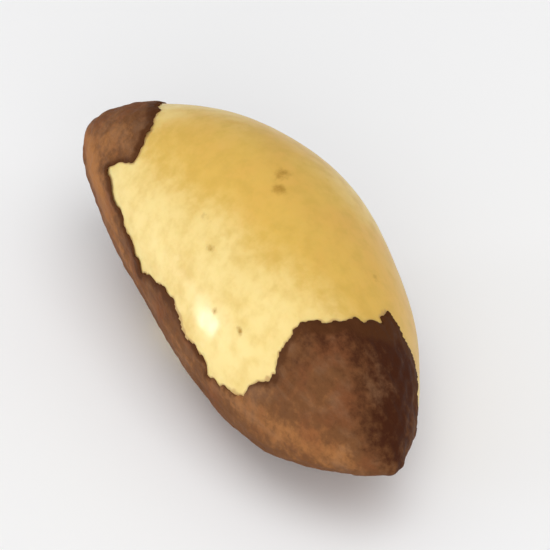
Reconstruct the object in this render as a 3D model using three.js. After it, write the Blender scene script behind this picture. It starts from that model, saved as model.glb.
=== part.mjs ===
// A shelled kernel of a Brazil nut, lying on its underside, in millimetres with +Z up.
// It has a broad blunt end towards -X and an angular tip towards +X. The cream flesh is bare
// in two large windows, and thin brown seed skin is left on the tip, the blunt end and along
// the lower edges. The whole kernel is one closed solid, with the skin as a low raised step.

import * as THREE from "three";

const LENGTH = 40;

// Each side is part of a cylinder whose radius and distance shrink towards both ends:
// direction in degrees from +Y towards +Z, distance from the middle line, crown radius,
// and how quickly the side closes at the blunt end and at the tip.
const SIDES = [
  { toward: 137.5, distance: 7.65, crown: 18, blunt: 0.52, tip: 0.545 },
  { toward: 24, distance: 9.05, crown: 11.5, blunt: 0.515, tip: 0.8 },
  { toward: 273, distance: 7.15, crown: 23, blunt: 0.54, tip: 0.86 },
  { toward: 208, distance: 8.2, crown: 9.9, blunt: 0.65, tip: 0.36 },
];
const EDGE_SHARPNESS = 9;

// The middle line bows sideways and up, and leans down towards the tip.
const BOW_Y = 2.45;
const BOW_Z = -0.52;
const LEAN_Y = 0.15;
const LEAN_Z = -1;

// Slow swells over the surface: share of the radius, waves and phase round the kernel,
// half waves and phase along it.
const SWELLS = [
  [0.01, 2, 0.7, 1.3, 0.4],
  [0.008, 3, 2.1, 2.2, 1.9],
  [0.006, 5, 4.0, 1.7, 3.1],
  [0.004, 7, 1.2, 3.4, 5.0],
];

// Radius that the very tip is rounded to.
const TIP_ROUNDING = 0.35;

// A typical radius of the kernel, which gives distances round it in millimetres.
const TYPICAL = { radius: 8.3, blunt: 0.54, tip: 0.6 };

const SKIN_THICKNESS = 0.18;
const SKIN_EDGE_WIDTH = 0.35;
const FLAT_SPOT_DEPTH = 0.21;

// Bare windows in the skin, as corners [x, degrees round the kernel]. The upper one covers
// both upper sides, and the lower one is on the underside.
const UPPER_WINDOW = {
  middle: 90,
  corners: [
    [-13.4, 92], [-12.4, 102], [-11.7, 115], [-11.1, 129], [-12.7, 134], [-13.3, 144],
    [-11.9, 152], [-9.7, 158], [-5.3, 174], [-2.5, 170], [1.1, 170], [2.4, 174],
    [4.3, 175], [5.2, 181], [7.3, 180], [9.1, 176], [9.9, 162], [10.7, 150],
    [9.8, 130], [9.8, 117], [10.9, 104], [11.5, 90], [11.9, 76], [11.7, 64], [10.7, 58],
    [11.3, 50], [12.2, 36], [12.8, 20], [13.9, 2], [13.4, -20], [8.1, -20], [4.2, -8],
    [0.2, -17], [-3.6, -10], [-6.9, 0], [-10, -6], [-12.6, 12], [-15.4, 34], [-16, 62],
    [-14.9, 78],
  ],
};
const LOWER_WINDOW = {
  middle: 268,
  corners: [
    [-11.2, 262], [-9.6, 244], [-6.8, 230], [-2.6, 227], [2.6, 232], [6, 240],
    [8.6, 256], [8, 270], [9.2, 281], [6.3, 301], [2, 299], [-2, 307], [-5.5, 298],
    [-9.7, 292],
  ],
};
const SKIN_SCRAP = {
  middle: 15,
  corners: [[-9.4, 16], [-7, 26], [-3.8, 18], [-5, 9], [-7.8, 8]],
};

// The surface grid: rings along the kernel, points round each ring, and how far a point
// may slide to lie on the skin's edge.
const RINGS = 54;
const POINTS_ROUND = 60;
const SNAP_REACH = 0.42;

const radians = (degrees) => (degrees * Math.PI) / 180;

function envelope(along, blunt, tip) {
  const peak = blunt / (blunt + tip);
  const top = peak ** blunt * (1 - peak) ** tip;
  return (along ** blunt * (1 - along) ** tip) / top;
}

function swell(along, round) {
  let total = 1;
  for (const [share, waves, phase, halfWaves, shift] of SWELLS) {
    const lengthwise = Math.sin(halfWaves * Math.PI * along + shift);
    total += share * Math.sin(waves * round + phase) * lengthwise;
  }
  return total;
}

// Distance from the middle line to the flesh, with the four sides blended at their edges
// and the very tip rounded off.
function fleshRadius(along, round) {
  let inverse = 0;
  for (const side of SIDES) {
    const size = envelope(along, side.blunt, side.tip) + 1e-6;
    const crown = side.crown * size;
    const offset = (side.distance - side.crown) * size;
    const angle = round - radians(side.toward);
    const sideways = offset * Math.sin(angle);
    const distance = offset * Math.cos(angle) + Math.sqrt(crown ** 2 - sideways ** 2);
    inverse += distance ** -EDGE_SHARPNESS;
  }
  const reach = inverse ** (-1 / EDGE_SHARPNESS) * swell(along, round);
  const toTip = LENGTH * (1 - along);
  return Math.sqrt(reach ** 2 + 2 * TIP_ROUNDING * toTip * Math.exp(-toTip));
}

function meanRadius(along) {
  return TYPICAL.radius * envelope(along, TYPICAL.blunt, TYPICAL.tip) + 0.05;
}

// A place on the surface, unrolled flat about a line along it: millimetres along and across.
function unrolled(along, round, middle) {
  const turn = round - radians(middle);
  const wrapped = Math.atan2(Math.sin(turn), Math.cos(turn));
  return new THREE.Vector2(LENGTH * (along - 0.5), wrapped * meanRadius(along));
}

// Distance inside an outline, negative outside it.
function insideOutline(outline, along, round) {
  const place = unrolled(along, round, outline.middle);
  const corners = outline.corners.map(([x, degrees]) => {
    const share = x / LENGTH + 0.5;
    return new THREE.Vector2(x, radians(degrees - outline.middle) * meanRadius(share));
  });
  let nearest = Infinity;
  let inside = false;
  corners.forEach((start, index) => {
    const end = corners[(index + 1) % corners.length];
    const edge = end.clone().sub(start);
    const reach = place.clone().sub(start);
    const share = Math.min(1, Math.max(0, reach.dot(edge) / edge.lengthSq()));
    nearest = Math.min(nearest, reach.distanceTo(edge.clone().multiplyScalar(share)));
    const passes = start.y > place.y !== end.y > place.y;
    if (passes && reach.x < (edge.x * reach.y) / edge.y) {
      inside = !inside;
    }
  });
  return inside ? nearest : -nearest;
}

// Distance into the skin, negative where the flesh is bare.
function insideSkin(along, round) {
  const upper = insideOutline(UPPER_WINDOW, along, round);
  const lower = insideOutline(LOWER_WINDOW, along, round);
  return Math.max(-Math.max(upper, lower), insideOutline(SKIN_SCRAP, along, round));
}

function skinHeight(depth) {
  const share = Math.min(1, Math.max(0, depth / SKIN_EDGE_WIDTH));
  return SKIN_THICKNESS * share * share * (3 - 2 * share);
}

// Slides a place onto the skin's edge where the edge passes close by.
function snapToSkinEdge(along, round) {
  const depth = insideSkin(along, round);
  if (Math.abs(depth) > SNAP_REACH) {
    return { along, round, depth };
  }
  const step = 0.05;
  const place = { along, round, depth: 0 };
  for (let pass = 0; pass < 3; pass += 1) {
    const scale = meanRadius(place.along);
    const here = insideSkin(place.along, place.round);
    const slopeX = (insideSkin(place.along + step / LENGTH, place.round) - here) / step;
    const slopeY = (insideSkin(place.along, place.round + step / scale) - here) / step;
    const steepness = Math.max(slopeX ** 2 + slopeY ** 2, 0.25);
    place.along -= (here * slopeX) / steepness / LENGTH;
    place.round -= (here * slopeY) / steepness / scale;
  }
  return place;
}

function surfacePoint(along, round, height) {
  const across = 2 * along - 1;
  const radius = fleshRadius(along, round) + height;
  return new THREE.Vector3(
    LENGTH * (along - 0.5),
    -BOW_Y * across ** 2 + LEAN_Y * across + radius * Math.cos(round),
    -BOW_Z * across ** 2 + LEAN_Z * across + radius * Math.sin(round),
  );
}

// The rings of places between the two ends, closer together towards the ends.
function makePlaces() {
  const places = [];
  for (let ring = 1; ring < RINGS; ring += 1) {
    const along = (1 - Math.cos((Math.PI * ring) / RINGS)) / 2;
    for (let index = 0; index < POINTS_ROUND; index += 1) {
      places.push(snapToSkinEdge(along, (2 * Math.PI * index) / POINTS_ROUND));
    }
  }
  return places;
}

// Two triangles to each cell, cut so that the skin's edge runs along triangle edges, and a
// fan of triangles at each end.
function makeTriangles(places, bluntEnd, tipEnd) {
  const triangles = [];
  const at = (ring, index) => (ring - 1) * POINTS_ROUND + (index % POINTS_ROUND);
  const side = (index) => Math.sign(places[index].depth);
  const offEdge = (one, other) => Math.abs(side(one)) + Math.abs(side(other));
  for (let index = 0; index < POINTS_ROUND; index += 1) {
    triangles.push(bluntEnd, at(1, index + 1), at(1, index));
    for (let ring = 1; ring < RINGS - 1; ring += 1) {
      const a = at(ring, index);
      const b = at(ring + 1, index);
      const c = at(ring + 1, index + 1);
      const d = at(ring, index + 1);
      if (offEdge(b, d) < offEdge(a, c) || side(a) * side(c) < 0) {
        triangles.push(a, d, b, b, d, c);
      } else {
        triangles.push(a, c, b, a, d, c);
      }
    }
    triangles.push(tipEnd, at(RINGS - 1, index), at(RINGS - 1, index + 1));
  }
  return triangles;
}

// Centres the points over the origin and presses the lowest ones to a flat spot at z = 0.
function restOnFlatSpot(points) {
  const box = new THREE.Box3().setFromPoints(points);
  const middle = box.getCenter(new THREE.Vector3());
  const floor = box.min.z + FLAT_SPOT_DEPTH;
  return points.flatMap(({ x, y, z }) => [x - middle.x, y - middle.y, Math.max(z, floor) - floor]);
}

function makeKernel() {
  const places = makePlaces();
  const points = places.map(({ along, round, depth }) => surfacePoint(along, round, skinHeight(depth)));
  const bluntEnd = points.push(surfacePoint(0, 0, 0)) - 1;
  const tipEnd = points.push(surfacePoint(1, 0, 0)) - 1;
  const geometry = new THREE.BufferGeometry();
  geometry.setAttribute("position", new THREE.Float32BufferAttribute(restOnFlatSpot(points), 3));
  geometry.setIndex(makeTriangles(places, bluntEnd, tipEnd));
  geometry.computeVertexNormals();
  return geometry;
}

const flesh = new THREE.MeshStandardMaterial({ color: 0xe9c67c, roughness: 0.45, metalness: 0 });

const kernel = new THREE.Mesh(makeKernel(), flesh);
kernel.name = "kernel";

const part = new THREE.Group();
part.name = "brazil_nut_kernel";
part.add(kernel);

export default part;
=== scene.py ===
"""A shelled Brazil nut kernel with torn brown skin, lying on a pale floor.

The kernel is made of two surfaces over the same places: how far along the kernel, from 0 at
the blunt end to 1 at the tip, and the turn round it in radians, from +Y towards +Z. The flesh
is the whole closed kernel, and the skin is a thin closed shell over the part that is still
covered. Shape functions work in millimetres, and the meshes are in metres.
"""

import math

import bpy
import numpy as np
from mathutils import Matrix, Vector


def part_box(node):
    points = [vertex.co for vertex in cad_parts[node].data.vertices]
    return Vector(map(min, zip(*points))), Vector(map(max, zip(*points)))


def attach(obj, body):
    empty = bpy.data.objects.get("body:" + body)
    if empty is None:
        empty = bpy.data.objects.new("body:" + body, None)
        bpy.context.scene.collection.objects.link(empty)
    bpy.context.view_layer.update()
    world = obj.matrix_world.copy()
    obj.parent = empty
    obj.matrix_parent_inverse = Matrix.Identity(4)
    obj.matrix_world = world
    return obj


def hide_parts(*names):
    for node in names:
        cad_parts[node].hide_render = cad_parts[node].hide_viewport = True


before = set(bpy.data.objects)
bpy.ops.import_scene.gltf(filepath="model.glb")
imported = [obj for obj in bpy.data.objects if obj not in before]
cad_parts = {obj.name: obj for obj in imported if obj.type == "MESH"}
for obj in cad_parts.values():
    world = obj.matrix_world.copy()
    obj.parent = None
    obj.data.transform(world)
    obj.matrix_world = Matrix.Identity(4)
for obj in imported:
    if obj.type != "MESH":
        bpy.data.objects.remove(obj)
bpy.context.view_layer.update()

bl_info = {
    "name": "Brazil Nut Kernel",
    "version": (1, 0, 0),
    "blender": (4, 5, 0),
    "location": "View3D > Sidebar > Kernel",
    "description": "Builds a shelled Brazil nut kernel with torn brown skin",
    "category": "Add Mesh",
}

MILLIMETRE = 0.001
LENGTH = 40.0

# Rings along and columns round: the flesh, the skin, and the coarse surface that is measured
# against the frame. Rings crowd towards the ends.
FLESH_GRID = (250, 300)
SKIN_GRID = (268, 250)
FRAME_GRID = (120, 140)
RING_CROWDING = 0.4

# Each side of the kernel: direction in degrees, distance from the middle line, crown radius,
# and how quickly it closes at the blunt end and at the tip. The sides blend by a power, the
# sharpness, and the least size keeps the ends from dividing by nothing.
SIDES = (
    (137.5, 7.65, 18.0, 0.52, 0.545),
    (24.0, 9.05, 11.5, 0.515, 0.8),
    (273.0, 7.15, 23.0, 0.54, 0.86),
    (208.0, 8.2, 9.9, 0.65, 0.36),
)
EDGE_SHARPNESS = 9.0
LEAST_SIZE = 1e-6

# The middle line, in millimetres: how far both its ends bow to -Y and -Z, and how far the tip
# leans to +Y and +Z and the blunt end away from them. Below 0 is the opposite way. Then the
# radius of the circle that rounds the tip.
BOW_Y, BOW_Z = 2.45, -0.52
LEAN_Y, LEAN_Z = 0.15, -1.0
TIP_ROUNDING = 0.35

# Slow swells: share of the radius, waves and phase round, half waves and phase along.
SWELLS = (
    (0.010, 2, 0.7, 1.3, 0.4),
    (0.008, 3, 2.1, 2.2, 1.9),
    (0.006, 5, 4.0, 1.7, 3.1),
    (0.004, 7, 1.2, 3.4, 5.0),
)

# The plain radius that turns angles into millimetres: at its widest, how quickly it closes at
# the blunt end and at the tip, and what is left of it at both.
TYPICAL_RADIUS, TYPICAL_BLUNT, TYPICAL_TIP, TYPICAL_END = 8.3, 0.54, 0.6, 0.05

# Bare windows in the skin and a scrap of skin in one of them: the turn in degrees that each is
# unrolled about, and its corners as (x in millimetres, degrees).
UPPER_WINDOW = (90, (
    (-13.4, 92), (-12.4, 102), (-11.7, 115), (-11.1, 129), (-12.7, 134), (-13.4, 145),
    (-12.3, 153), (-11.2, 157), (-9.8, 159), (-7.6, 165), (-5.2, 175), (-3.7, 170),
    (-2.1, 167), (-0.5, 166), (0.9, 170), (2.4, 174), (4.3, 175), (5.2, 181), (7.3, 180),
    (9.1, 176), (9.9, 162), (10.7, 150), (9.8, 130), (9.8, 117), (10.9, 104), (11.5, 90),
    (11.9, 76), (11.7, 64), (10.7, 58), (11.3, 50), (12.2, 37), (12.8, 25), (13.8, 18),
    (15.2, 13), (16.6, -6), (15.6, -24), (13, -26), (8.1, -20), (4.2, -8), (0.2, -17),
    (-3.6, -10), (-6.9, 0), (-10, -6), (-13.6, 10), (-16.3, 36), (-16.2, 62), (-14.9, 78),
))
LOWER_WINDOW = (268, (
    (-11.2, 262), (-9.6, 244), (-6.8, 230), (-2.6, 227), (2.6, 232), (6, 240), (8.6, 256),
    (8, 270), (9.2, 281), (6.3, 301), (2, 299), (-2, 307), (-5.5, 298), (-9.7, 292),
))
SKIN_SCRAP = (15, (
    (-9.6, 15), (-8.9, 20), (-7.6, 22), (-7.0, 26), (-5.6, 22), (-3.6, 19), (-4.8, 14),
    (-4.9, 9), (-6.4, 11), (-7.9, 7),
))

# Round places: x, degrees, length, width and strength. A dent's strength is how far it is
# pressed in, in millimetres, and below 0 it is a bulge. Skin is paler where its tone is above
# 0, and darker where below.
DENTS = (
    (-4.0, 118, 7.0, 2.2, 0.10),
    (5.5, 96, 5.0, 1.8, 0.06),
    (-9.0, 60, 3.5, 2.6, 0.10),
    (3.0, 20, 6.0, 2.0, 0.12),
    (-1.0, 8, 4.0, 1.6, 0.09),
    (0.5, 262, 6.0, 2.4, 0.05),
    (1.6, 170, 3.0, 3.0, -0.15),
)
# Deeper golden places on the flesh: partly its own colour, and partly painted shade that darkens
# the top and the right edge.
GOLDEN_AND_SHADE_PLACES = (
    (0.5, 91, 8.0, 3.8, 0.9),
    (6.0, 62, 6.0, 4.2, 0.75),
    (-6.0, 106, 4.5, 3.4, 0.35),
    (-11.0, 92, 3.5, 4.0, 0.45),
    (-5.0, 60, 6.0, 4.0, 0.5),
    (-6.0, 36, 6.0, 4.0, 0.5),
    (5.0, 8, 5.0, 3.0, 0.5),
    (9.5, 26, 5.0, 5.0, 1.1),
    (-2.0, 262, 6.0, 3.0, 0.7),
)
MARKS = (
    (-1.2, 79, 0.9, 0.8, 0.66),
    (0.1, 86, 0.7, 0.6, 0.74),
    (6.3, 148, 0.5, 0.42, 0.7),
    (-0.1, 130, 0.5, 0.4, 0.66),
    (3.5, 151, 0.46, 0.38, 0.7),
    (8.4, 58, 0.5, 0.4, 0.62),
    (-2.3, 122, 0.9, 0.7, 0.48),
    (-9.6, 40, 0.7, 0.5, 0.72),
    (-2.0, 4, 0.35, 0.6, 0.75),
    (6.4, 14, 0.4, 0.4, 0.85),
    (4.1, 268, 0.6, 0.5, 0.75),
    (-5.2, 275, 0.4, 0.35, 0.7),
)
# Tones of the skin: partly its own colour, partly painted light. The strong pale places along the
# lower left edge of the blunt end are partly a painted sheen, and the dark places on the tip's cap
# are partly painted shade on its side turned from the light.
SKIN_TONES = (
    (12.0, 177, 6.0, 1.3, 0.9),
    (16.5, 166, 3.0, 1.0, 0.6),
    (14.4, 127, 3.0, 2.6, 0.3),
    (13.5, 54, 4.8, 4.2, -1.5),
    (11.3, 95, 1.8, 4.6, -0.6),
    (18.6, 76, 2.4, 2.8, -1.0),
    (-14.8, 122, 2.4, 2.4, 0.85),
    (-14.0, 96, 1.6, 1.6, -0.4),
    (-16.5, 152, 2.2, 2.0, 0.5),
    (-17.5, 152, 2.0, 1.0, 1.3),
    (-14.3, 163, 2.2, 1.3, 1.3),
    (-11.3, 172, 2.4, 1.3, 1.2),
    (-8.0, 183, 2.6, 0.8, 1.0),
    (0.5, 186, 7.0, 0.9, 0.5),
    (-15.5, 30, 4.0, 3.0, 0.5),
    (-14.0, 250, 5.0, 4.0, 0.5),
    (13.5, 265, 5.0, 3.0, 0.5),
    (2.0, 325, 7.0, 1.6, 0.4),
)

# Smooth noises: wavelength in millimetres and seed. Each is a sum of this many waves, whose
# lengths are the wavelength times a number in the range.
COARSE_NOTCHES = (2.4, 11)
FINE_NOTCHES = (0.9, 12)
SLOW_NOTCHES = (5.0, 13)
GRAIN = (1.4, 22)
LUMPS = (9.0, 26)
STREAKS = (1.0, 31)
FINE_BUMPS = (0.8, 32)
BROAD_BUMPS = (3.0, 33)
LOOSE_PLACES = (3.5, 34)
WAVE_COUNT = 28
WAVE_RANGE = (0.7, 1.4)

# Sizes of the relief, in millimetres, and how far streaks are drawn out along the kernel.
GRAIN_HEIGHT = 0.005
FINE_BUMP_HEIGHT = 0.022
BROAD_BUMP_HEIGHT = 0.04
STREAK_STRETCH = (0.16, 1, 1)

# The torn edge: the mean size of smooth noise, which is taken off every notch, the shares of
# fine notches and slow waves, and how far outside its edge the skin's height starts from 0.
MEAN_NOTCH = 0.47
FINE_SHARE, SLOW_SHARE = 0.6, 0.35
EDGE_START = 0.05

# The skin inside its edge, in millimetres: the depth over which streaks and root grow in, the
# root at the edge itself, and how far in a loose edge lifts. The gain makes loose places
# larger, and the inner layer follows this share of the lift.
EDGE_GROWTH = 0.4
EDGE_ROOT = 0.03
CURL_REACH = 0.35
LOOSE_GAIN = 1.4
INNER_LIFT = 0.9

# Finding the edge, in millimetres: the step that the depth's slope is taken over, how near the
# edge a place is moved onto it, in how many steps, and the least square of the slope to divide
# by. The walls' slopes are taken within a range along the kernel that leaves out its ends.
SLOPE_STEP = 0.02
EDGE_REACH = 0.1
EDGE_STEPS = 3
LEAST_SLOPE = 0.3
OFF_THE_ENDS = (0.001, 0.999)

# The skin's map: the outer layer's share of it, the inner layer's share and start above that,
# and how far off the skin a wall lies, in millimetres. The way along is evened out by a table
# of this many steps. Edges turned further than this many degrees are shaded sharp.
OUTER_MAP, INNER_MAP, INNER_MAP_START = (1, 0.8), (1, 0.16), (0, 0.82)
WALL_OFFSET = 0.25
EVEN_STEPS = 2000
SHARP_DEGREES = 50

# The smooth step of skin on the frame's own kernel: its height and the width of its edge.
FRAME_SKIN_THICKNESS, FRAME_SKIN_EDGE = 0.18, 0.35

# Each light: name, azimuth and elevation in degrees, width and height in metres. The other
# sizes of the studio are in metres too.
LIGHTS = (
    ("side", -36, 5, 0.14, 0.28),
    ("front", 60, 22, 1.0, 0.9),
    ("top", 90, 70, 1.2, 1.2),
)
LIGHT_DISTANCE = 1.3
FLOOR_REACH = 2.5
FLOOR_DROP = 0.00003
CAMERA_CLIP = 0.01

# The Mix node's colour sockets share their names with others, so they go by number.
MIX_SHARE, MIX_BELOW, MIX_ABOVE, MIX_RESULT = 0, 6, 7, 2


def envelope(along, blunt, tip):
    """A profile from 0 at both ends to 1 at its widest: a power of the way from the blunt end
    times a power of the way to the tip, over the product's highest value."""
    peak = blunt / (blunt + tip)
    return along**blunt * (1 - along) ** tip / (peak**blunt * (1 - peak) ** tip)


def flesh_radius(along, turn):
    """Distance from the middle line to the flesh. Each side is a circle of its crown radius that
    stands its distance off the line, all sized by its envelope. The sides blend as the minus
    ninth root of the sum of minus ninth powers. Swells multiply it, and a small circle added in
    squares rounds the tip."""
    inverse = 0.0
    for toward, distance, crown, blunt, tip in SIDES:
        size = envelope(along, blunt, tip) + LEAST_SIZE
        offset = (distance - crown) * size
        angle = turn - math.radians(toward)
        chord = np.sqrt((crown * size) ** 2 - (offset * np.sin(angle)) ** 2)
        inverse = inverse + (offset * np.cos(angle) + chord) ** -EDGE_SHARPNESS
    swell = 1.0
    for share, rounds, phase, half_waves, shift in SWELLS:
        lengthwise = np.sin(half_waves * math.pi * along + shift)
        swell = swell + share * np.sin(rounds * turn + phase) * lengthwise
    to_tip = LENGTH * (1 - along)
    rounding = 2 * TIP_ROUNDING * to_tip * np.exp(-to_tip)
    return np.sqrt((inverse ** (-1 / EDGE_SHARPNESS) * swell) ** 2 + rounding)


def typical_radius(along):
    """A plain envelope times the widest radius, and a little more so that it is never 0. It turns
    angles round the kernel into millimetres."""
    return TYPICAL_RADIUS * envelope(along, TYPICAL_BLUNT, TYPICAL_TIP) + TYPICAL_END


def flesh_points(along, turn):
    """Points at the flesh radius round the middle line, which bows and leans by a parabola and
    a line."""
    across = 2 * along - 1
    radius = flesh_radius(along, turn)
    return np.stack(
        (
            LENGTH * (along - 0.5),
            -BOW_Y * across**2 + LEAN_Y * across + radius * np.cos(turn),
            -BOW_Z * across**2 + LEAN_Z * across + radius * np.sin(turn),
        ),
        axis=-1,
    )


def outward(along, turn):
    """Directions straight out of the flesh: the small step round crossed with the small step
    along, brought to length 1."""
    step = 1e-5
    inner = np.clip(along, 2 * step, 1 - 2 * step)
    round_step = flesh_points(inner, turn + step) - flesh_points(inner, turn - step)
    along_step = flesh_points(inner + step, turn) - flesh_points(inner - step, turn)
    normal = np.cross(round_step, along_step)
    return normal / np.linalg.norm(normal, axis=-1, keepdims=True)


def smooth_step(value, start, end):
    """0 before start, 1 after end, and an S curve between."""
    share = np.clip((value - start) / (end - start), 0, 1)
    return share * share * (3 - 2 * share)


def waves(points, wavelength, seed):
    """Smooth noise, mostly between -1 and 1: a sum of plane sine waves near one wavelength, each
    in a random direction with a random phase, over 1.2 times the root of their number."""
    draw = np.random.default_rng(seed)
    way = draw.normal(size=(3, WAVE_COUNT))
    divisor = np.linalg.norm(way, axis=0) * wavelength * draw.uniform(*WAVE_RANGE, WAVE_COUNT)
    way *= 2 * math.pi / divisor
    phases = draw.uniform(0, 2 * math.pi, WAVE_COUNT)
    return np.sin(points @ way + phases).sum(-1) / (1.2 * WAVE_COUNT**0.5)


def unrolled(along, turn, middle):
    """Places unrolled flat about a turn in degrees: x, and the turn away times the typical
    radius."""
    away = turn - math.radians(middle)
    across = np.arctan2(np.sin(away), np.cos(away)) * typical_radius(along)
    return LENGTH * (along - 0.5), across


def rounded_places(along, turn, places):
    """The sum of bell shapes of the places' lengths and widths, each times its strength."""
    total = np.zeros_like(along)
    for x, degrees, length, width, strength in places:
        place_x, place_y = unrolled(along, turn, degrees)
        total += strength * np.exp(-(((place_x - x) / length) ** 2) - (place_y / width) ** 2)
    return total


def inside_outline(outline, along, turn):
    """Distance inside an outline, negative outside. The surface is unrolled about the outline's
    turn, the distance is the least to any edge, and a place is inside where a line from it
    along x passes an odd number of edges."""
    middle, corners = outline
    place_x, place_y = (flat[:, None] for flat in unrolled(along, turn, middle))
    corner = np.array(corners, float)
    start_x, start_y = unrolled(corner[:, 0] / LENGTH + 0.5, np.radians(corner[:, 1]), middle)
    edge_x = np.roll(start_x, -1) - start_x
    edge_y = np.roll(start_y, -1) - start_y
    reach_x = place_x - start_x
    reach_y = place_y - start_y
    share = np.clip((reach_x * edge_x + reach_y * edge_y) / (edge_x**2 + edge_y**2), 0, 1)
    nearest = np.hypot(reach_x - share * edge_x, reach_y - share * edge_y).min(1)
    passes = (reach_y < 0) != (reach_y < edge_y)
    crossed = (passes & (reach_x * np.abs(edge_y) < edge_x * reach_y * np.sign(edge_y))).sum(1)
    return np.where(crossed % 2 == 1, nearest, -nearest)


def skin_depth(along, turn, tear):
    """Distance into the skin, negative where the flesh is bare. Skin lies outside both windows
    and in the scrap. The torn edge adds slow waves and two sizes of notch, each the size of
    smooth noise less its mean, all times the tear. With no tear the edge is smooth."""
    upper = inside_outline(UPPER_WINDOW, along, turn)
    lower = inside_outline(LOWER_WINDOW, along, turn)
    depth = np.maximum(-np.maximum(upper, lower), inside_outline(SKIN_SCRAP, along, turn))
    if tear:
        points = flesh_points(along, turn)
        coarse = np.abs(waves(points, *COARSE_NOTCHES)) - MEAN_NOTCH
        fine = np.abs(waves(points, *FINE_NOTCHES)) - MEAN_NOTCH
        slow = waves(points, *SLOW_NOTCHES)
        depth = depth + tear * (coarse + FINE_SHARE * fine + SLOW_SHARE * slow)
    return depth


def skin_height(depth, thickness, edge_width):
    """Height of the skin over the flesh: an S curve from 0 at its edge to its thickness."""
    return thickness * smooth_step(depth, 0, edge_width)


def spread(share):
    """Spaces rings closer together towards both ends: the share less a part of one sine wave
    over the whole, with the wave's steepest slope brought to 1."""
    return share - RING_CROWDING * np.sin(2 * math.pi * share) / (2 * math.pi)


def make_places(rings, columns):
    """Places along and round the kernel as two rows, ring by ring, and then the two ends."""
    along = np.repeat(spread(np.arange(1, rings) / rings), columns)
    turn = np.tile(2 * math.pi * np.arange(columns) / columns, rings - 1)
    return np.append(along, (0.0, 1.0)), np.append(turn, (0.0, 0.0))


def depth_and_slope(along, turn, tear):
    """The depth into the skin, and how fast it grows along the kernel and round it: its change
    over a small step each way."""
    depth = skin_depth(along, turn, tear)
    farther = skin_depth(along + SLOPE_STEP / LENGTH, turn, tear)
    turned = skin_depth(along, turn + SLOPE_STEP / typical_radius(along), tear)
    return depth, (farther - depth) / SLOPE_STEP, (turned - depth) / SLOPE_STEP


def slide_to_edge(along, turn, tear):
    """Moves each place that is near the skin's edge onto it, by a few steps of its depth over
    the slope of the depth, down that slope. Returns the places and their depths."""
    along, turn = along.copy(), turn.copy()
    depth = skin_depth(along, turn, tear)
    near = np.abs(depth) < EDGE_REACH
    for _ in range(EDGE_STEPS):
        here, slope_x, slope_y = depth_and_slope(along[near], turn[near], tear)
        move = here / np.maximum(slope_x**2 + slope_y**2, LEAST_SLOPE)
        move = np.clip(move, -EDGE_REACH, EDGE_REACH)
        turn[near] -= move * slope_y / typical_radius(along[near])
        along[near] -= move * slope_x / LENGTH
    depth[near] = 0
    return along, turn, depth


def drop_crumbs(depth, columns):
    """Puts a place on the skin's edge where fewer than three of the nine places in and round it
    are inside the skin, so that no crumb of skin stands alone."""
    enough = 3
    inside = (depth[:-2] > 0).reshape(-1, columns).astype(int)
    crowd = inside + np.roll(inside, 1, 0) + np.roll(inside, -1, 0)
    crowd = crowd + np.roll(crowd, 1, 1) + np.roll(crowd, -1, 1)
    lonely = np.append((crowd < enough).ravel(), (False, False))
    return np.where(lonely & (depth > 0), 0, depth)


def make_triangles(side, columns):
    """Two triangles to each cell of the grid, and one where a cell meets an end. The cut runs
    along the skin's edge where two opposite corners lie on it. The side is 1 on the skin, 0 on
    its edge and -1 on bare flesh. Returns vertex numbers, with the column of each corner."""
    rings = (len(side) - 2) // columns + 1
    ring, column = np.meshgrid(np.arange(rings), np.arange(columns), indexing="ij")
    grid = np.ones((rings + 1, columns + 1))
    grid[1:-1, :-1] = side[:-2].reshape(rings - 1, columns)
    grid[:, -1] = grid[:, 0]
    a, b, c, d = grid[:-1, :-1], grid[1:, :-1], grid[1:, 1:], grid[:-1, 1:]
    other_cut = (abs(b) + abs(d) < abs(a) + abs(c)) | (a * c < 0)
    steps = np.array(
        [
            [[(0, 0), (1, 1), (1, 0)], [(0, 0), (0, 1), (1, 1)]],
            [[(0, 0), (0, 1), (1, 0)], [(1, 0), (0, 1), (1, 1)]],
        ]
    )
    chosen = steps[other_cut.astype(int)]
    corner_ring = (ring[..., None, None] + chosen[..., 0]).reshape(-1, 3)
    corner_column = (column[..., None, None] + chosen[..., 1]).reshape(-1, 3)
    whole = ((corner_ring == 0) | (corner_ring == rings)).sum(1) < 2
    corner_ring, corner_column = corner_ring[whole], corner_column[whole]
    number = (corner_ring - 1) * columns + corner_column % columns
    number[corner_ring == 0] = len(side) - 2
    number[corner_ring == rings] = len(side) - 1
    return number, corner_column


def map_corners(along, turn, number, column, columns):
    """Places on the map of each triangle corner: the turn across it, from 0 to 1 and a little
    past, and the evened way along up it. An end takes the middle of its triangle's columns."""
    even = np.linspace(0, 1, EVEN_STEPS)
    up = np.interp(along, spread(even), even)[number]
    across = turn[number] / (2 * math.pi) + column // columns
    at_end = number >= len(along) - 2
    return np.stack((np.where(at_end, (column + 0.5) / columns, across), up), axis=-1)


def frame_shift():
    """How far the shape formula's own place lies from the frame: the middles of the boxes in x
    and y, and their tops. The frame's kernel has a smooth step of skin."""
    along, turn = make_places(*FRAME_GRID)
    step = skin_height(skin_depth(along, turn, 0), FRAME_SKIN_THICKNESS, FRAME_SKIN_EDGE)
    points = flesh_points(along, turn) + outward(along, turn) * step[:, None]
    low, high = points.min(0), points.max(0)
    frame_low, frame_high = (np.array(corner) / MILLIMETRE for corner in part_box("kernel"))
    shift = (frame_low + frame_high - low - high) / 2
    shift[2] = frame_high[2] - high[2]
    return shift


def settle(points):
    """Moves points to the frame, presses the lowest to the floor, and turns them to metres."""
    moved = points + frame_shift()
    moved[:, 2] = np.maximum(moved[:, 2], 0)
    return moved * MILLIMETRE


def flesh_relief(points, unevenness):
    """Height of slow lumps and fine grain over the flesh, both smooth noise."""
    return unevenness * waves(points, *LUMPS) + GRAIN_HEIGHT * waves(points, *GRAIN)


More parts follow.
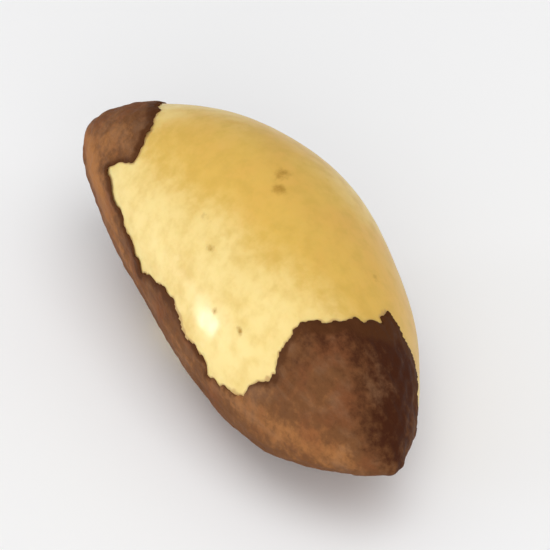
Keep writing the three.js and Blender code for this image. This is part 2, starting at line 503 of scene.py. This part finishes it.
def skin_layers(along, turn, depth, shape):
    """The skin's outer and inner points, both straight out of the flesh by its relief and the
    skin's lift. The lift is the curl times smooth noise kept between 0 and 1, and falls with
    the depth as an exponential. The outer layer adds the skin's height, and streaks and bumps
    of smooth noise that grow in from the edge on an S curve. The inner layer goes back by the
    root, which deepens on the same curve."""
    base = flesh_points(along, turn)
    normal = outward(along, turn)
    relief = flesh_relief(base, shape.unevenness / MILLIMETRE)
    loose = np.clip(LOOSE_GAIN * waves(base, *LOOSE_PLACES), 0, 1)
    loose = loose * np.exp(-np.maximum(depth, 0) / CURL_REACH)
    lift = shape.curl / MILLIMETRE * loose
    thickness = shape.skin_thickness / MILLIMETRE
    height = skin_height(depth + EDGE_START, thickness, shape.skin_edge / MILLIMETRE)
    streaks = shape.streak / MILLIMETRE * waves(base * STREAK_STRETCH, *STREAKS)
    fine, broad = waves(base, *FINE_BUMPS), waves(base, *BROAD_BUMPS)
    bumps = FINE_BUMP_HEIGHT * fine + BROAD_BUMP_HEIGHT * broad
    growth = smooth_step(depth, 0, EDGE_GROWTH)
    root = EDGE_ROOT + (shape.skin_root / MILLIMETRE - EDGE_ROOT) * growth
    outer = base + normal * (relief + lift + height + growth * (streaks + bumps))[:, None]
    inner = base + normal * (relief + INNER_LIFT * lift - root)[:, None]
    return outer, inner


def rim_walls(along, triangles, map_places, slope_x, slope_y):
    """Joins the skin's outer layer to its inner one along every directed edge of the outer layer
    that no other triangle shares the other way round: two triangles to an edge. The inner layer's
    vertex numbers follow the outer layer's. On the map a wall lies just off the skin, down the
    slope of the depth."""
    after = [1, 2, 0]
    start, end = triangles.ravel(), triangles[:, after].ravel()
    count = len(along)
    alone = ~np.isin(start * count + end, end * count + start)
    start, end = start[alone], end[alone]
    start_place = map_places.reshape(-1, 2)[alone]
    end_place = map_places[:, after].reshape(-1, 2)[alone]
    turn_slope = slope_y / typical_radius(along) / (2 * math.pi)
    slope = np.stack((turn_slope, slope_x / LENGTH), axis=-1)
    start_under = start_place - WALL_OFFSET * slope[start]
    end_under = end_place - WALL_OFFSET * slope[end]
    walls = np.concatenate((
        np.stack((end, start, start + count), axis=-1),
        np.stack((end, start + count, end + count), axis=-1),
    ))
    wall_places = np.concatenate((
        np.stack((end_place, start_place, start_under), axis=1),
        np.stack((end_place, start_under, end_under), axis=1),
    ))
    return walls, wall_places


def make_piece(name, points, triangles, map_places, values, material):
    """A mesh object from points in metres, triangles, their corners' places on the map, and
    named values at the points. It rides on the kernel's body."""
    mesh = bpy.data.meshes.new(name)
    mesh.vertices.add(len(points))
    mesh.vertices.foreach_set("co", points.astype(np.float32).ravel())
    mesh.loops.add(triangles.size)
    mesh.loops.foreach_set("vertex_index", triangles.astype(np.int32).ravel())
    mesh.polygons.add(len(triangles))
    mesh.polygons.foreach_set("loop_start", np.arange(0, triangles.size, 3, dtype=np.int32))
    mesh.update(calc_edges=True)
    unwrapped = mesh.uv_layers.new(name="OFBake")
    unwrapped.data.foreach_set("uv", map_places.astype(np.float32).ravel())
    for label, numbers in values.items():
        layer = mesh.attributes.new(label, "FLOAT", "POINT")
        layer.data.foreach_set("value", numbers.astype(np.float32))
    if mesh.validate(verbose=True):
        raise RuntimeError(f"the mesh of {name} is not valid")
    mesh.shade_smooth()
    mesh.materials.append(material)
    piece = bpy.data.objects.new(name, mesh)
    bpy.context.scene.collection.objects.link(piece)
    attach(piece, "root")
    return piece


class Value:
    """A node's output: a number, a colour or a direction that varies over a surface. Each
    operator on a number adds a Math node."""

    def __init__(self, tree, socket):
        self.tree = tree
        self.socket = socket

    def math(self, operation, *numbers):
        """A Math node of this operation on the numbers."""
        settings = {"operation": operation}
        return self.tree.node("ShaderNodeMath", settings, dict(enumerate(numbers)))

    def __add__(self, other):
        return self.math("ADD", self, other)

    def __sub__(self, other):
        return self.math("SUBTRACT", self, other)

    def __rsub__(self, other):
        return self.math("SUBTRACT", other, self)

    def __mul__(self, other):
        return self.math("MULTIPLY", self, other)

    __radd__ = __add__
    __rmul__ = __mul__

    def between(self, start, end):
        """0 where this is at start, 1 at end, and a smooth step between."""
        settings = {"interpolation_type": "SMOOTHSTEP"}
        inputs = {"Value": self, "From Min": start, "From Max": end}
        return self.tree.node("ShaderNodeMapRange", settings, inputs)


class Tree:
    """The nodes of one material, with its Principled shader."""

    def __init__(self, name):
        self.material = bpy.data.materials.new(name)
        self.material.use_nodes = True
        self.tree = self.material.node_tree
        self.shader = self.tree.nodes["Principled BSDF"]

    def put(self, socket, value):
        """Links a value to a socket, or sets the number or colour on it."""
        if isinstance(value, Value):
            self.tree.links.new(value.socket, socket)
        elif hasattr(value, "__len__") and socket.type == "RGBA":
            socket.default_value = (*value[:3], 1.0)
        else:
            socket.default_value = value

    def node(self, kind, settings=None, inputs=None, output=0):
        """Adds a node. Its settings come first, then its sockets, and one output comes back."""
        made = self.tree.nodes.new(kind)
        for name, value in (settings or {}).items():
            setattr(made, name, value)
        for name, value in (inputs or {}).items():
            self.put(made.inputs[name], value)
        return Value(self, made.outputs[output])

    def shade(self, **inputs):
        """Sets sockets of the Principled shader, named in lower case with underscores."""
        for name, value in inputs.items():
            title = " ".join(word.capitalize() for word in name.split("_"))
            self.put(self.shader.inputs[title.replace("Ior", "IOR")], value)

    def places(self, stretch=(1.0, 1.0, 1.0), shift=(0.0, 0.0, 0.0)):
        """Object coordinates in millimetres, each times its stretch and moved by its shift."""
        scale = tuple(axis / MILLIMETRE for axis in stretch)
        objects = self.node("ShaderNodeTexCoord", output="Object")
        inputs = {"Vector": objects, "Scale": scale, "Location": shift}
        return self.node("ShaderNodeMapping", None, inputs)

    def noise(self, places, size, detail, roughness=0.55):
        """Noise from 0 to 1 with lumps of about this size in millimetres."""
        inputs = {"Vector": places, "Scale": 1 / size, "Detail": detail, "Roughness": roughness}
        return self.node("ShaderNodeTexNoise", None, inputs)

    def painted(self, name):
        """A named value at the mesh's points."""
        return self.node("ShaderNodeAttribute", {"attribute_name": name}, output="Fac")

    def blend(self, share, below, above):
        """The colour below, covered by the colour above as far as the share says."""
        inputs = {MIX_SHARE: share, MIX_BELOW: below, MIX_ABOVE: above}
        return self.node("ShaderNodeMix", {"data_type": "RGBA"}, inputs, output=MIX_RESULT)

    def bump(self, height, distance, under=None):
        """A normal from a height, with the distance in millimetres that a height of 1 stands."""
        inputs = {"Height": height, "Distance": distance * MILLIMETRE}
        if under:
            inputs["Normal"] = under
        return self.node("ShaderNodeBump", None, inputs)


def colour_property(name, description, default):
    """A colour that a user can change, linear."""
    return bpy.props.FloatVectorProperty(
        name=name, description=description, default=default, subtype="COLOR", min=0.0, max=1.0
    )


def length_property(name, description, millimetres):
    """A length that a user can change, kept in metres."""
    return bpy.props.FloatProperty(
        name=name,
        description=description,
        default=millimetres * MILLIMETRE,
        unit="LENGTH",
        precision=5,
    )


def angle_property(name, description, degrees):
    """An angle that a user can change, kept in radians."""
    return bpy.props.FloatProperty(
        name=name, description=description, default=math.radians(degrees), subtype="ANGLE"
    )


def power_property(name, description, watts):
    """The power of a light that a user can change."""
    return bpy.props.FloatProperty(
        name=name, description=description, default=watts, unit="POWER"
    )


class KernelShape(bpy.types.PropertyGroup):
    """Sizes of the skin and of the small unevenness of the flesh."""

    skin_thickness: length_property("Skin thickness", "How far the skin stands on the flesh", 0.18)
    skin_edge: length_property("Skin edge", "Width over which the skin thins to its edge", 0.14)
    skin_root: length_property("Skin root", "Depth of the skin's lower side in the flesh", 0.12)
    tear: length_property("Tear", "Depth of the notches along the skin's torn edge", 0.26)
    curl: length_property("Curl", "How far the skin's edge curls up where it is loose", 0.12)
    streak: length_property("Streak", "Height of the lengthwise streaks in the skin", 0.042)
    unevenness: length_property("Unevenness", "Height of the slow lumps of the flesh", 0.06)


class KernelColours(bpy.types.PropertyGroup):
    """Colours of the flesh, the skin and the floor, linear."""

    cream: colour_property("Cream", "Flesh where it is palest", (0.875, 0.69, 0.28))
    # The deep golden colour also makes the painted shade on the flesh's top and right edge.
    golden_and_shade: colour_property("Golden", "Flesh where it is deepest", (0.71, 0.45, 0.088))
    amber: colour_property("Amber", "Warmer clouds in the flesh", (0.73, 0.405, 0.085))
    olive: colour_property("Olive", "Fine dull blotches in the flesh", (0.6, 0.375, 0.065))
    mark: colour_property("Mark", "Small brown marks on the flesh", (0.37, 0.19, 0.014))
    stain: colour_property("Stain", "Flesh right beside the skin's edge", (0.5, 0.29, 0.1))
    # The dark skin colour also makes the painted shade on the tip's cap.
    dark_skin: colour_property("Dark skin", "Darkest streaks of the skin", (0.05, 0.012, 0.003))
    brown_skin: colour_property("Brown skin", "Main colour of the skin", (0.165, 0.067, 0.024))
    # The pale skin colour also makes the painted sheen along the blunt end's lower left edge.
    pale_skin: colour_property("Pale skin", "Rubbed and thin skin", (0.37, 0.155, 0.05))
    russet: colour_property("Russet", "Reddish patches of the skin", (0.2, 0.06, 0.022))
    bloom: colour_property("Bloom", "Dry greyish patches of the skin", (0.21, 0.115, 0.065))
    # The rim colour is partly the torn skin's own colour and partly painted shade along its edge.
    skin_rim: colour_property("Skin rim", "The skin along its torn edge", (0.075, 0.024, 0.006))
    floor: colour_property("Floor", "The floor under the kernel", (0.95, 0.95, 0.955))


class KernelStudio(bpy.types.PropertyGroup):
    """The camera and the lights."""

    azimuth: angle_property("Azimuth", "Camera angle round the kernel, from -Y towards +X", 59.15)
    elevation: angle_property("Elevation", "Camera angle above the floor", 40.0)
    distance: length_property("Distance", "From the camera to the kernel", 500.0)
    view_width: length_property("View width", "Width of the picture at the kernel", 38.0)
    side_power: power_property("Side light", "Power of the window light", 4.7)
    front_power: power_property("Front light", "Power of the broad front light", 5.7)
    top_power: power_property("Top light", "Power of the overhead light", 6.4)
    surround: bpy.props.FloatProperty(
        name="Surround", description="Strength of the white surroundings", default=0.55
    )


def flesh_material(colours):
    """Waxy cream flesh. Golden and amber clouds, fine dull blotches, small brown marks and a
    stain beside the skin's edge are blended in one after another. Each has a mask: weights
    times noises and painted places, brought to 0 to 1 between two levels. The golden places
    are partly the flesh's own colour and partly painted shade on its top and its right edge."""
    tree = Tree("nut_flesh")
    places = tree.places()
    golden_and_shade = tree.painted("golden_and_shade")
    clouds = tree.noise(places, size=5.0, detail=3.0)
    mottle = tree.noise(places, size=1.1, detail=5.0)
    fibres = tree.noise(tree.places(stretch=(0.18, 1.0, 1.0)), size=1.1, detail=4.0)
    # The golden places in this mask are partly painted shade.
    warmth = golden_and_shade + clouds * 0.9 + mottle * 0.45 + fibres * 0.2
    warm = warmth.between(0.55, 1.75)
    colour = tree.blend(warm, colours.cream, colours.golden_and_shade)
    flush = tree.noise(tree.places(shift=(7.0, 0.0, 0.0)), size=3.2, detail=2.0)
    amber = (flush * 0.8 + golden_and_shade * 0.45).between(0.68, 1.05)
    colour = tree.blend(amber * 0.55, colour, colours.amber)
    olive = (mottle * 1.2 + clouds * 0.3).between(0.6, 1.05)
    colour = tree.blend(olive * (warm * 0.35 + 0.2), colour, colours.olive)
    blots = tree.noise(places, size=0.7, detail=4.0, roughness=0.6)
    marks = (tree.painted("marks") * 1.3 + blots * 1.2 - 1.0).between(0.0, 0.8)
    colour = tree.blend(marks, colour, colours.mark)
    beside = tree.painted("skin_depth") + mottle * 0.2
    colour = tree.blend(beside.between(-0.15, 0.1) * 0.8, colour, colours.stain)
    grain = tree.noise(places, size=0.28, detail=4.0)
    bump = tree.bump(fibres, distance=0.02)
    bump = tree.bump(grain + mottle, distance=0.01, under=bump)
    tree.shade(
        base_color=colour,
        roughness=0.42 + mottle * 0.2,
        specular_ior_level=0.15,
        coat_weight=0.28,
        coat_roughness=0.17,
        subsurface_weight=0.2,
        subsurface_radius=(1.0, 0.5, 0.2),
        subsurface_scale=0.0012,
        normal=bump,
    )
    return tree.material


def skin_material(colours):
    """Dull brown skin, streaked lengthwise and speckled. Rubbed, reddish, dry and dark places
    and a dark rim at the torn edge are blended in by masks, as on the flesh. Some pale places
    are a painted sheen, and the dark places and the rim are partly painted shade. The rim is
    narrower where the skin's tone is pale."""
    tree = Tree("nut_skin")
    places = tree.places()
    # The painted tone is partly rubbed skin, partly painted sheen and painted shade.
    rubbed_sheen_and_shade = tree.painted("tone")
    streak_places = tree.places(stretch=(0.2, 1.0, 1.0))
    streaks = tree.noise(streak_places, size=0.8, detail=5.0, roughness=0.6)
    speckle = tree.noise(places, size=0.6, detail=4.0, roughness=0.65)
    patches = tree.noise(places, size=2.8, detail=2.0)
    tone = streaks * 0.6 + speckle * 0.95 + patches * 0.4 - 0.475 + rubbed_sheen_and_shade * 0.4
    colour = tree.blend(tone.between(0.55, 1.1), colours.brown_skin, colours.pale_skin)
    flush = tree.noise(tree.places(shift=(0.0, 5.0, 0.0)), size=3.4, detail=4.0)
    russet = (flush + speckle * 0.3).between(0.6, 0.85)
    colour = tree.blend(russet * 0.5, colour, colours.russet)
    bloom = (patches * 0.7 + streaks * 0.6).between(0.62, 0.85)
    colour = tree.blend(bloom * 0.35, colour, colours.bloom)
    colour = tree.blend(tone.between(0.6, -0.1), colour, colours.dark_skin)
    # The dark rim is partly the torn skin's colour and partly painted shade along the edge.
    edge = tree.painted("skin_depth") + speckle * 0.5 + patches * 1.1 + rubbed_sheen_and_shade * 0.6 - 0.6
    colour = tree.blend(edge.between(1.0, 0.4) * 0.85, colour, colours.skin_rim)
    bump = tree.bump(streaks, distance=0.14)
    bump = tree.bump(speckle, distance=0.06, under=bump)
    tree.shade(
        base_color=colour,
        roughness=0.52 + speckle * 0.28,
        specular_ior_level=0.08,
        normal=bump,
    )
    return tree.material


class KERNEL_OT_flesh(bpy.types.Operator):
    """Builds the kernel's flesh as one closed surface"""

    bl_idname = "kernel.flesh"
    bl_label = "Build Flesh"

    def execute(self, context):
        """Sets points straight out of the form by its relief less the dents."""
        shape = context.scene.kernel_shape
        columns = FLESH_GRID[1]
        along, turn = make_places(*FLESH_GRID)
        base = flesh_points(along, turn)
        relief = flesh_relief(base, shape.unevenness / MILLIMETRE)
        relief = relief - rounded_places(along, turn, DENTS)
        points = base + outward(along, turn) * relief[:, None]
        number, column = make_triangles(np.ones_like(along), columns)
        values = {
            "skin_depth": skin_depth(along, turn, shape.tear / MILLIMETRE),
            "golden_and_shade": rounded_places(along, turn, GOLDEN_AND_SHADE_PLACES),
            "marks": rounded_places(along, turn, MARKS),
        }
        piece = make_piece(
            "kernel_flesh",
            settle(points),
            number,
            map_corners(along, turn, number, column, columns),
            values,
            flesh_material(context.scene.kernel_colours),
        )
        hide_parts("kernel")
        return {"FINISHED"}


class KERNEL_OT_skin(bpy.types.Operator):
    """Builds the torn skin as a thin closed shell on the flesh"""

    bl_idname = "kernel.skin"
    bl_label = "Build Skin"

    def execute(self, context):
        """Keeps the triangles whose corners are all on the skin or its edge, puts the inner
        layer under them the other way round, and closes the rim with walls."""
        shape = context.scene.kernel_shape
        tear = shape.tear / MILLIMETRE
        columns = SKIN_GRID[1]
        along, turn = make_places(*SKIN_GRID)
        along, turn, depth = slide_to_edge(along, turn, tear)
        depth = drop_crumbs(depth, columns)
        number, column = make_triangles(np.sign(depth), columns)
        covered = (depth[number] >= 0).all(1) & (depth[number] > 0).any(1)
        top = number[covered]
        places = map_corners(along, turn, top, column[covered], columns)
        _, slope_x, slope_y = depth_and_slope(np.clip(along, *OFF_THE_ENDS), turn, tear)
        walls, wall_places = rim_walls(along, top, places, slope_x, slope_y)
        triangles = np.concatenate((top, top[:, ::-1] + len(along), walls))
        used, triangles = np.unique(triangles, return_inverse=True)
        under_places = places[:, ::-1] * INNER_MAP + INNER_MAP_START
        map_places = (places * OUTER_MAP, under_places, wall_places * OUTER_MAP)
        tone = rounded_places(along, turn, SKIN_TONES)
        piece = make_piece(
            "kernel_skin",
            settle(np.concatenate(skin_layers(along, turn, depth, shape))[used]),
            triangles.reshape(-1, 3),
            np.concatenate(map_places),
            {"skin_depth": np.tile(depth, 2)[used], "tone": np.tile(tone, 2)[used]},
            skin_material(context.scene.kernel_colours),
        )
        piece.data.set_sharp_from_angle(angle=math.radians(SHARP_DEGREES))
        return {"FINISHED"}


def facing(azimuth, elevation):
    """The direction from the kernel towards an azimuth from -Y to +X, and an elevation."""
    level = math.cos(elevation)
    return Vector((math.sin(azimuth) * level, -math.cos(azimuth) * level, math.sin(elevation)))


def add_light(name, target, azimuth, elevation, width, height, power):
    """A rectangular area light at an angle round and above the target, turned to face it."""
    lamp = bpy.data.lights.new(name, "AREA")
    lamp.shape = "RECTANGLE"
    lamp.size = width
    lamp.size_y = height
    lamp.energy = power
    light = bpy.data.objects.new(name, lamp)
    back = facing(math.radians(azimuth), math.radians(elevation))
    light.location = target + LIGHT_DISTANCE * back
    light.rotation_euler = back.to_track_quat("Z", "Y").to_euler()
    bpy.context.scene.collection.objects.link(light)


def add_floor(colour):
    """A level square just under the kernel."""
    tree = Tree("floor_white")
    tree.shade(base_color=colour, roughness=0.6)
    mesh = bpy.data.meshes.new("floor")
    sides = ((-1, -1), (1, -1), (1, 1), (-1, 1))
    corners = [(x * FLOOR_REACH, y * FLOOR_REACH, -FLOOR_DROP) for x, y in sides]
    mesh.from_pydata(corners, [], [(0, 1, 2, 3)])
    mesh.materials.append(tree.material)
    floor = bpy.data.objects.new("floor", mesh)
    bpy.context.scene.collection.objects.link(floor)


class KERNEL_OT_studio(bpy.types.Operator):
    """Builds the floor, the lights and the camera"""

    bl_idname = "kernel.studio"
    bl_label = "Build Studio"

    def execute(self, context):
        """Aims the lights and the camera at the middle of the kernel's box."""
        scene = context.scene
        studio = scene.kernel_studio
        low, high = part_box("kernel")
        target = (low + high) / 2
        add_floor(scene.kernel_colours.floor)

        world = bpy.data.worlds.new("white_surround")
        world.use_nodes = True
        background = world.node_tree.nodes["Background"]
        background.inputs["Color"].default_value = (1.0, 1.0, 1.0, 1.0)
        background.inputs["Strength"].default_value = studio.surround
        scene.world = world

        powers = (studio.side_power, studio.front_power, studio.top_power)
        for (name, *place), power in zip(LIGHTS, powers):
            add_light(name, target, *place, power)

        camera = bpy.data.objects.new("camera", bpy.data.cameras.new("camera"))
        back = facing(studio.azimuth, studio.elevation)
        camera.location = target + studio.distance * back
        camera.rotation_euler = back.to_track_quat("Z", "Y").to_euler()
        camera.data.lens = camera.data.sensor_width * studio.distance / studio.view_width
        camera.data.clip_start = CAMERA_CLIP
        scene.collection.objects.link(camera)
        scene.camera = camera
        scene.view_settings.view_transform = "Standard"
        return {"FINISHED"}


class KERNEL_PT_panel(bpy.types.Panel):
    """Lists the sizes, the colours and the pieces"""

    bl_label = "Brazil Nut Kernel"
    bl_idname = "KERNEL_PT_panel"
    bl_space_type = "VIEW_3D"
    bl_region_type = "UI"
    bl_category = "Kernel"

    def draw(self, context):
        """Lists every setting of each group, and then the operators."""
        scene = context.scene
        for group in (scene.kernel_shape, scene.kernel_colours, scene.kernel_studio):
            for name in group.bl_rna.properties.keys():
                if name not in {"rna_type", "name"}:
                    self.layout.prop(group, name)
        for operator in OPERATORS:
            self.layout.operator(operator.bl_idname)


GROUPS = {
    "kernel_shape": KernelShape,
    "kernel_colours": KernelColours,
    "kernel_studio": KernelStudio,
}
OPERATORS = (KERNEL_OT_flesh, KERNEL_OT_skin, KERNEL_OT_studio)
CLASSES = (*GROUPS.values(), *OPERATORS, KERNEL_PT_panel)


def register():
    """Registers the classes and puts each group of settings on the scene."""
    for new_class in CLASSES:
        bpy.utils.register_class(new_class)
    for name, group in GROUPS.items():
        setattr(bpy.types.Scene, name, bpy.props.PointerProperty(type=group))


def unregister():
    """Takes the settings off the scene and unregisters the classes."""
    for name in GROUPS:
        delattr(bpy.types.Scene, name)
    for old_class in reversed(CLASSES):
        bpy.utils.unregister_class(old_class)


def main():
    register()
    bpy.ops.kernel.flesh()
    bpy.ops.kernel.skin()
    bpy.ops.kernel.studio()


if __name__ == "__main__":
    main()
